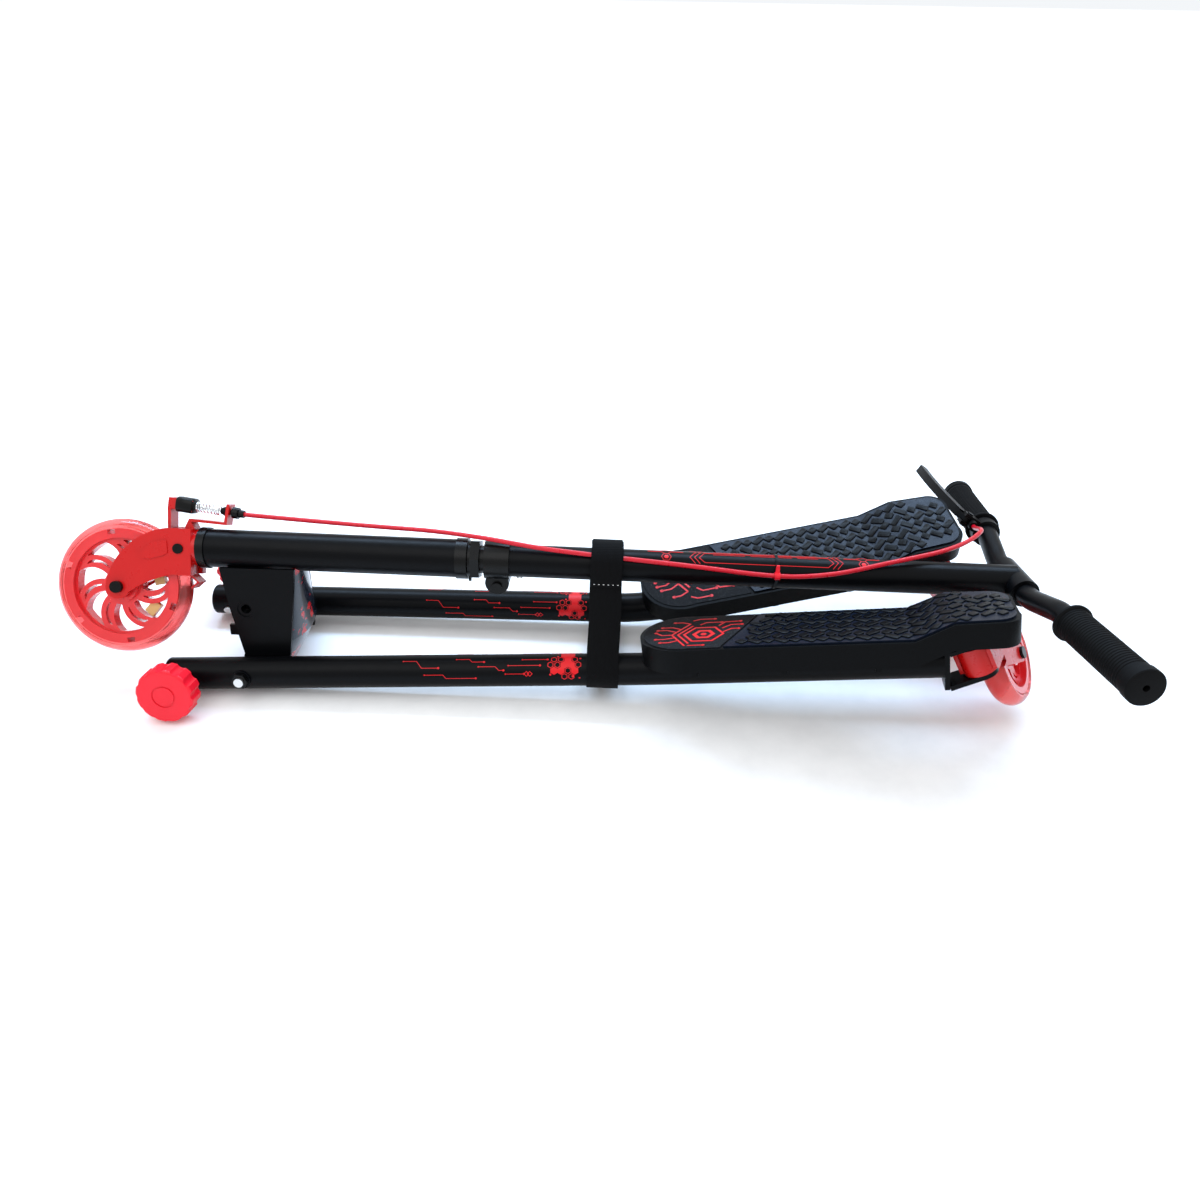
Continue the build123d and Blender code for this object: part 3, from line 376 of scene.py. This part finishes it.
PAD_RUBBER = simple_material("pad_rubber", (0.0014, 0.0017, 0.0025), 0.36, 0, (1800, 0.3), 0, 0.11)
WHITE_THREAD = simple_material("white_thread", (0.75, 0.75, 0.74), 0.7, 0, (1500, 0.2))
GOLD = simple_material("tan_lamp_module", (0.62, 0.36, 0.13), 0.35, 0.2, (700, 0.1), 0.3)


def dress_nodes():
    for entry in frame["record"]["subparts"]:
        node = NODES[entry["node"]]
        node.data.materials.clear()
        node.data.materials.append(MATERIALS[entry["material_slot"]])


# ---------------------------------------------------------------- mesh building
class Shell:
    """Gathers closed little solids, in millimetres, into one mesh."""

    def __init__(self):
        self.points = []
        self.faces = []

    def add(self, points, faces):
        first = len(self.points)
        self.points += points
        self.faces += [[first + index for index in face] for face in faces]

    def loft(self, rings, closed=False):
        """Skins equal rings of points, capping both ends unless the run closes on itself."""
        size = len(rings[0])
        points = [point for ring in rings for point in ring]
        faces = []
        for step in range(len(rings) if closed else len(rings) - 1):
            here, there = step * size, (step + 1) % len(rings) * size
            for index in range(size):
                follow = (index + 1) % size
                faces.append([here + index, here + follow, there + follow, there + index])
        if not closed:
            faces.append(list(range(size))[::-1])
            faces.append([len(points) - size + index for index in range(size)])
        self.add(points, faces)

    def piece(self, name, matrix, body, slot, material, smooth=35):
        mesh = bpy.data.meshes.new(name)
        mesh.from_pydata([matrix @ (Vector(point) * MM) for point in self.points], [], self.faces)
        build = bmesh.new()
        build.from_mesh(mesh)
        bmesh.ops.recalc_face_normals(build, faces=build.faces)
        for face in build.faces:
            face.smooth = smooth > 0
        for edge in build.edges:
            if len(edge.link_faces) == 2 and edge.calc_face_angle(0) > math.radians(max(smooth, 1)):
                edge.smooth = False
        build.to_mesh(mesh)
        build.free()
        mesh.materials.append(material)
        piece = bpy.data.objects.new(name, mesh)
        bpy.context.scene.collection.objects.link(piece)
        if body:
            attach(piece, body)
        return piece


def subdivided(path, longest, closed=False):
    points = []
    count = len(path) if closed else len(path) - 1
    for index in range(count):
        start, end = path[index], path[(index + 1) % len(path)]
        steps = max(1, math.ceil(math.dist(start, end) / longest))
        for step in range(steps):
            share = step / steps
            points.append((start[0] + (end[0] - start[0]) * share, start[1] + (end[1] - start[1]) * share))
    if not closed:
        points.append(path[-1])
    return points


def ribbon(shell, surface, path, width, closed=False, thick=0.2):
    """A printed line that follows a surface; the path is in the surface's own two coordinates."""
    path = subdivided(path, 2.0, closed)
    count = len(path)
    rings = []
    for index, (u, v) in enumerate(path):
        before = path[index - 1] if closed or index else path[index]
        after = path[(index + 1) % count] if closed or index < count - 1 else path[index]
        first = Vector((u - before[0], v - before[1]))
        second = Vector((after[0] - u, after[1] - v))
        if first.length < 1e-9:
            first = second
        if second.length < 1e-9:
            second = first
        along = (first.normalized() + second.normalized()).normalized()
        across = Vector((-along.y, along.x)) * (width / 2)
        across /= max(0.5, along.dot(second.normalized()))
        left, right = (u + across.x, v + across.y), (u - across.x, v - across.y)
        section = [surface(*left, -0.1), surface(*right, -0.1), surface(*right, thick), surface(*left, thick)]
        rings.append(section)
    shell.loft(rings, closed)


def patch(shell, surface, outline, thick=0.2):
    """A printed filled shape, as a fan with a middle ring so that it follows a curved surface."""
    centre = (sum(p[0] for p in outline) / len(outline), sum(p[1] for p in outline) / len(outline))
    outline = subdivided(outline, 1.6, True)
    middle = [(centre[0] + (u - centre[0]) * 0.5, centre[1] + (v - centre[1]) * 0.5) for u, v in outline]
    count = len(outline)
    points = [surface(*p, -0.1) for p in outline] + [surface(*p, thick) for p in outline]
    points += [surface(*p, thick) for p in middle] + [surface(*centre, thick), surface(*centre, -0.1)]
    faces = []
    for index in range(count):
        follow = (index + 1) % count
        faces.append([index, follow, count + follow, count + index])
        faces.append([count + index, count + follow, 2 * count + follow, 2 * count + index])
        faces.append([2 * count + index, 2 * count + follow, 3 * count])
        faces.append([follow, index, 3 * count + 1])
    shell.add(points, faces)


def regular(centre, radius, corners=6, start=0.0):
    points = []
    for index in range(corners):
        angle = start + index * 2 * math.pi / corners
        points.append((centre[0] + radius * math.cos(angle), centre[1] + radius * math.sin(angle)))
    return points


def tube(shell, points, radius, sides=10):
    """A round tube through points in space."""
    points = [Vector(p) for p in points]
    normal = None
    rings = []
    for index, point in enumerate(points):
        before = points[max(index - 1, 0)]
        after = points[min(index + 1, len(points) - 1)]
        along = (after - before).normalized()
        if normal is None:
            normal = along.orthogonal()
        normal = (normal - along * normal.dot(along)).normalized()
        across = along.cross(normal)
        rings.append([
            tuple(point + (normal * math.cos(a) + across * math.sin(a)) * radius)
            for a in (2 * math.pi * k / sides for k in range(sides))
        ])
    shell.loft(rings)


def lathe(shell, profile, sides=64):
    """Turns a closed outline of (distance along Y, radius) about the Y axis."""
    rings = []
    for step in range(sides):
        angle = 2 * math.pi * step / sides
        rings.append([(r * math.cos(angle), y, r * math.sin(angle)) for y, r in profile])
    shell.loft(rings, closed=True)


# ---------------------------------------------------------------- decks
def deck_height(a):
    if a <= STEP_START:
        return DECK_TOP
    return DECK_TOP + DECK_STEP * min(1, (a - STEP_START) / (STEP_END - STEP_START))


def deck_surface(side, lift):
    def at(a, out, height):
        return a, side * out, deck_height(a) + lift + height
    return at


def inside_tread(a, out):
    half = DECK_HALF - 5.5
    if a > STEP_START:
        half -= 4 * min(1, (a - STEP_START) / (DECK_L - 18 - STEP_START))
    if abs(out) > half or a > DECK_L - 6 or a < CUT_X + CUT_GAP - CUT_LEAN * out + 1.5:
        return False
    corner = Vector((a - (DECK_L - 24), abs(out) - (half - 17)))
    return not (corner.x > 0 and corner.y > 0 and corner.length > 17)


def tread_block(shell, surface, centre, length, width, angle, height):
    """A raised pad with sloping sides."""
    def corners(grow):
        half_l, half_w, cut = length / 2 + grow, width / 2 + grow, 1.3
        flat = [(half_l - cut, half_w), (-half_l, half_w), (-half_l, cut - half_w), (cut - half_l, -half_w),
                (half_l, -half_w), (half_l, half_w - cut)]
        turn = Matrix.Rotation(angle, 2)
        return [tuple(Vector(centre) + turn @ Vector(p)) for p in flat]
    low = [surface(*p, -0.2) for p in corners(0.0)]
    shoulder = [surface(*p, height - 0.4) for p in corners(-0.2)]
    top = [surface(*p, height) for p in corners(-0.7)]
    shell.loft([low, shoulder, top])


def tread_pattern(side, name):
    """Slanting pads in rows that lean alternately, as on a tyre."""
    shell = Shell()
    surface = deck_surface(side, TREAD_T)
    for row in range(-3, 4):
        lean = math.radians(38 if row % 2 else -38)
        for column in range(30):
            long_pad = (column + row) % 2 == 0
            centre = (78 + column * 13.2 + (row % 2) * 4.5, row * 11.2)
            length, width = (14.6, 7.2) if long_pad else (9.4, 8.0)
            reach = [(centre[0] + dx, centre[1] + dy) for dx in (-4.6, 4.6) for dy in (-4.0, 4.0)]
            if all(inside_tread(*p) for p in reach):
                tread_block(shell, surface, centre, length, width, lean, 1.5)
    shell.piece(f"tread_pads_{name}", DECK[side], f"arm_{name}", "tread_rubber", PAD_RUBBER, 30)


def tape_print(side, name):
    """Nested hexagons with branching lines, printed on the nose; the second coordinate runs inboard."""
    shell = Shell()
    surface = deck_surface(-side, TAPE_T)
    centre = (68, -6.5)
    ribbon(shell, surface, regular(centre, 20.5), 2.4, True)
    ribbon(shell, surface, regular(centre, 10), 3.8, True)
    patch(shell, surface, regular(centre, 3.4))
    for radius in (27, 33.5):
        around = regular(centre, radius)
        ribbon(shell, surface, [around[2], around[3], around[4]], 2.0)
    lines = [
        [(35, -6.5), (24, -6.5), (17, 0)], [(43, 8), (33, 14), (22, 14)], [(38, 1), (28, 7), (18, 7)],
        [(43, -21), (34, -26), (25, -26)], [(38, -14), (28, -17), (19, -17)],
        [(51, 22.5), (42, 27), (34, 27)], [(54, -35), (70, -35)], [(53, 31), (60, 35), (76, 35)],
        [(62, 19), (68, 25), (84, 25)],
        [(88, -2), (96, 6), (103, 6)], [(86, 8), (95, 17), (106, 17)], [(82, 15), (88, 25), (104, 26)],
    ]
    for line in lines:
        ribbon(shell, surface, line, 1.8)
        patch(shell, surface, regular(line[-1], 2.1, 8))
    shell.piece(f"tape_print_{name}", DECK[side], f"arm_{name}", "grip_tape", RED_INK)


# ---------------------------------------------------------------- prints on the tubes
def tube_surface(side, radius=TUBE_R):
    """Distance along the tube, and degrees up from the outboard side."""
    def at(x, degrees_up, height):
        angle = math.radians(degrees_up)
        reach = radius + height
        return x, side * reach * math.cos(angle), reach * math.sin(angle)
    return at


def wrapped(side, turn, start):
    """The tube's surface with the second coordinate in millimetres round the tube."""
    at = tube_surface(side)
    return lambda x, s, height: at(x, start + turn * math.degrees(s / TUBE_R), height)


def circuit_print(shell, surface):
    """Stepped lines with dots, running into a cluster of hexagons."""
    lines = [
        [(175, 7), (189, 7), (195, -1), (213, -1)], [(198, -8.5), (218, -8.5), (221, -12.5), (253, -12.5)],
        [(256, 0), (274, 0), (278, -4), (283, -4)], [(288, 1), (322, 1)], [(285, -8), (305, -8)],
        [(303, 8), (330, 8)], [(232, 9), (246, 9), (249, 5.5), (262, 5.5)],
    ]
    for line in lines:
        ribbon(shell, surface, line, 0.6)
        patch(shell, surface, regular(line[-1], 1.2, 8))
        patch(shell, surface, regular(line[0], 0.8, 8))
    for x in (306, 309.5):
        ribbon(shell, surface, regular((x + 1.5, -8), 2.6, 4), 0.7, True)
    spacing = 7.4
    filled = {(0, 0), (1, 0), (0, 1), (0, -1), (0, 2), (-1, 2), (-1, -1), (2, -1)}
    rings = {(-1, 0), (-2, 1), (2, 0), (1, 1), (1, -2), (-2, 0), (2, -2), (-1, 1), (1, -1)}
    for row, column in [(r, c) for c in range(-3, 4) for r in range(-3, 4)]:
        centre = (348 + spacing * (row + column / 2), 1.5 + spacing * 0.866 * column)
        if (row, column) in filled:
            patch(shell, surface, regular(centre, 4.35, 6, math.pi / 6))
        elif (row, column) in rings:
            ribbon(shell, surface, regular(centre, 3.2, 6, math.pi / 6), 0.7, True)
    for x, s, r in ((333, -9, 1.2), (357, -11, 1.5), (364, -13, 0.9), (365, 9, 1.1), (341, 12, 1.1)):
        patch(shell, surface, regular((x, s), r, 8))


def arm_prints():
    for side, name in SIDES:
        shell = Shell()
        circuit_print(shell, wrapped(side, 1, 38))
        circuit_print(shell, wrapped(side, -1, 142))
        shell.piece(f"arm_print_{name}", ARM[side], f"arm_{name}", "black_paint", RED_INK)


def stem_print():
    """A long clipped panel outline between two small hexagon marks, on both sides."""
    shell = Shell()
    for side in (-1, 1):
        at = tube_surface(side)

        def surface(x, s, height, at=at):
            return at(x, 62 + STEM_TURN * side + math.degrees(s / TUBE_R), height)

        outer = [(547, 8), (678, 8), (684, 0), (678, -5.5), (547, -5.5), (541, 0)]
        ribbon(shell, surface, outer, 0.6, True)
        for x, way in ((541, -1), (684, 1)):
            for step in (5, 10):
                base = x + way * step
                ribbon(shell, surface, [(base - way * 7, 9.5), (base, 0.5), (base - way * 6, -7)], 0.6)
        for x in (506, 716):
            ribbon(shell, surface, regular((x, 0), 5.2), 0.6, True)
            patch(shell, surface, regular((x, 0), 2.6))
            ribbon(shell, surface, [(x - 20, 8), (x - 6, 8), (x - 2, 5)], 0.55)
            ribbon(shell, surface, [(x + 2, 5), (x + 6, 9), (x + 18, 9)], 0.55)
        for start, end in ((556, 590), (596, 640), (646, 668)):
            ribbon(shell, surface, [(start, 11.5), (end, 11.5)], 0.55)
    shell.piece("stem_print", COLUMN, "stem", "black_paint", RED_INK)


# ---------------------------------------------------------------- brake, grips, strap
def coil_spring():
    """Eight open turns and a closed one at each end, round the inner wire."""
    shell = Shell()
    turns, per_turn, length = 9.0, 20, 26.2
    total = int(turns * per_turn)
    points = []
    for step in range(total + 1):
        share = step / total
        angle = 2 * math.pi * turns * share
        ease = share - 0.06 * math.sin(2 * math.pi * share)
        points.append((0.7 + ease * (length - 0.6), 5.1 * math.cos(angle), 5.1 * math.sin(angle)))
    tube(shell, points, 0.75, 8)
    spring = shell.piece("return_spring", PULL, "fork", "spring_steel", MATERIALS["spring_steel"])
    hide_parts("brake_spring")
    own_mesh(spring)
    wire = Shell()
    tube(wire, [(-3, 0, 0), (15, 0, 0), (34, 0, 0)], 0.8, 8)
    wire.piece("inner_wire", PULL, "fork", "zinc", MATERIALS["zinc"])


def clevis_sleeve():
    """The black sleeve that wraps the brake arm's end and tapers down to the wire."""
    shell = Shell()
    rings = []
    for x, half_y, half_z in ((-18.5, 10.4, 7.8), (-17.7, 11.0, 8.4), (-3.2, 11.0, 8.4), (-1.6, 10.6, 8.0),
                              (0.2, 7.4, 6.4)):
        ring = []
        for corner in range(24):
            angle = 2 * math.pi * corner / 24
            c, s = math.cos(angle), math.sin(angle)
            squarer = 1 / (abs(c) ** 4 + abs(s) ** 4) ** 0.25
            ring.append((x, half_y * c * squarer, half_z * s * squarer))
        rings.append(ring)
    shell.loft(rings)
    shell.piece("clevis_sleeve", PULL, "brake_arm", "black_steel", MATERIALS["black_steel"], 40)


def bar_frame(side, out):
    low, high = Vector((885.4, side * 100, 13)), Vector((895.5, side * 241, 14.8))
    along = (high - low).normalized()
    spot = low + along * ((out - 100) / abs(along.y))
    return STEM @ axes(spot * MM, Vector((1, 0, 0)) - along * along.x, along)


def ribbed_grip(side, name):
    """A turned rubber sleeve: flanges, shallow ribs, closed outer end with a small hole."""
    length, bore = 117.0, 11.25
    profile = [(0, bore), (0, 18.2), (0.8, 19.0), (3.2, 19.0), (4.2, 18.0), (5.0, 16.4)]
    y = 7.0
    while y < length - 10:
        profile += [(y, 16.5), (y + 0.6, 15.9), (y + 1.6, 15.9), (y + 2.2, 16.5)]
        y += 3.6
    profile += [(length - 6, 16.4), (length - 5, 17.5), (length - 1, 17.7), (length + 4.6, 17.7),
                (length + 5.7, 17.0), (length + 6, 15.9), (length + 6, 3.2), (length + 3, 3.0),
                (length + 2, 3.0), (length + 2, bore)]
    shell = Shell()
    lathe(shell, profile, 72)
    place = bar_frame(side, GRIP_START)
    grip = shell.piece(f"ribbed_grip_{name}", place, "stem", "grip_rubber", MATERIALS["grip_rubber"], 25)
    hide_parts(f"grip_{name}")


def hull(points):
    points = sorted(points)

    def chain(ordered):
        line = []
        for p in ordered:
            while len(line) > 1:
                (ax, ay), (bx, by) = line[-2], line[-1]
                if (bx - ax) * (p[1] - ay) - (by - ay) * (p[0] - ax) > 0:
                    break
                line.pop()
            line.append(p)
        return line[:-1]

    return chain(points) + chain(points[::-1])


def strap_loop():
    """Y and Z of the taut loop's inner face, in the column's frame."""
    spots = [((-1.5, 1.5), TUBE_R + 6.3)]
    for side, _ in SIDES:
        centre = COLUMN.inverted() @ (ARM[side] @ (Vector((STRAP_X - PIVOT_X, 0, 0)) * MM)) / MM
        spots.append(((centre.y, centre.z), TUBE_R + 1.1))
    points = []
    for (cy, cz), radius in spots:
        points += regular((cy, cz), radius, 72)
    return subdivided(hull(points), 3.0, True)


def strap():
    loop = strap_loop()
    count = len(loop)
    shell = Shell()

    def normal(index):
        before, after = loop[index - 1], loop[(index + 1) % count]
        along = Vector((after[0] - before[0], after[1] - before[1])).normalized()
        return Vector((along.y, -along.x))

    def ring(index, low, high, half, drift=0.0):
        out = normal(index)
        section = [(-half, low), (-half, high - 0.4), (0.5 - half, high), (half - 0.5, high),
                   (half, high - 0.4), (half, low)]
        y, z = loop[index]
        return [(STRAP_X + drift + x, y + out.x * h, z + out.y * h) for x, h in section]

    shell.loft([ring(i, 0.0, 1.4, 17, 0.35 * math.sin(i * 0.23)) for i in range(count)], closed=True)
    band = shell.piece("strap_band", COLUMN, "frame", "strap_webbing", MATERIALS["strap_webbing"], 40)
    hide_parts("strap")
    flap = Shell()
    start = min(range(count), key=lambda i: math.dist(loop[i], (-25, -14)))
    top = min(range(count), key=lambda i: math.dist(loop[i], (14, 21)))
    indices = []
    step = -1 if loop[(start - 1) % count][1] > loop[start][1] else 1
    index = start
    while index != top and len(indices) < count:
        indices.append(index)
        index = (index + step) % count
    flap.loft([ring(i, 1.3, 2.8, 16) for i in indices])
    flap.piece("strap_flap", COLUMN, "frame", "strap_webbing", MATERIALS["strap_webbing"], 40)
    thread = Shell()
    out = normal(start)
    for number in range(6):
        x = STRAP_X - 12.5 + number * 5
        y, z = loop[indices[1]][0] + out.x * 2.9, loop[indices[1]][1] + out.y * 2.9
        tube(thread, [(x - 0.7, y, z), (x, y + out.x * 0.1, z), (x + 0.7, y, z)], 0.28, 6)
    thread.piece("strap_stitches", COLUMN, "frame", "strap_webbing", WHITE_THREAD)


def tie():
    """A thin black band round stem and cable, with a red keeper whose tail stands up."""
    centre = (-19.6, 6.6)
    loop = subdivided(hull(regular((0, 0), 17.75, 48) + regular(centre, 2.75, 24)), 3.0, True)
    count = len(loop)
    band, keeper = Shell(), Shell()
    rings = []
    for index, (y, z) in enumerate(loop):
        before, after = loop[index - 1], loop[(index + 1) % count]
        along = Vector((after[0] - before[0], after[1] - before[1])).normalized()
        out = Vector((along.y, -along.x))
        section = ((TIE_X, 0), (TIE_X, 0.9), (TIE_X + TIE_W, 0.9), (TIE_X + TIE_W, 0))
        rings.append([(x, y + out.x * h, z + out.y * h) for x, h in section])
    band.loft(rings, closed=True)
    piece = band.piece("tie_band", COLUMN, "stem", "black_plastic", MATERIALS["black_plastic"])
    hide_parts("cable_tie")
    tube(keeper, [(620.8, *centre), (623.5, *centre), (626.2, *centre)], 4.3, 16)
    corners = [(-1, -1), (1, -1), (1, 1), (-1, 1)]
    keeper.loft([
        [(623.5 + 2.2 * size * cx, y + 1.3 * size * cy, z) for cx, cy in corners]
        for y, z, size in ((-19.0, 9.0, 1.0), (-17.6, 15.0, 0.9), (-17.0, 18.0, 0.7))
    ])
    keeper.piece("tie_keeper", COLUMN, "stem", "red_plastic", MATERIALS["red_plastic"])


def bending_cable():
    """The casing, as a smooth-shaded copy baked in place."""
    source = NODES["brake_cable"]
    copy = bpy.data.objects.new("cable_casing", source.data.copy())
    bpy.context.scene.collection.objects.link(copy)
    for polygon in copy.data.polygons:
        polygon.use_smooth = True
    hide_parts("brake_cable")
    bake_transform(copy)


def lamp_modules():
    """Two small light modules moulded into the front wheel's upper windows."""
    spin = JOINTS["front_wheel_spin"]
    wheel = axes(spin["pos_m"], FORK.to_3x3() @ Vector((1, 0, 0)), spin["axis"])
    for number, angle in enumerate((75, 128)):
        shell = Shell()
        rings = []
        for y in (-3.2, -2.6, 2.6, 3.2):
            grow = 0 if abs(y) > 3 else 0.6
            rings.append([(x * (1 + grow / 8), y, z) for x, z in ((-7, 33), (7, 33), (7.5, 44), (-7.5, 44))])
        shell.loft(rings)
        shell.piece(f"lamp_module_{number}", turned(wheel, "Y", angle), "front_wheel", "red_hub", GOLD, 30)


make_camera()
make_lights()
make_floor()
dress_nodes()
for side, name in SIDES:
    tread_pattern(side, name)
    tape_print(side, name)
    ribbed_grip(side, name)
arm_prints()
stem_print()
coil_spring()
clevis_sleeve()
strap()
tie()
bending_cable()
lamp_modules()
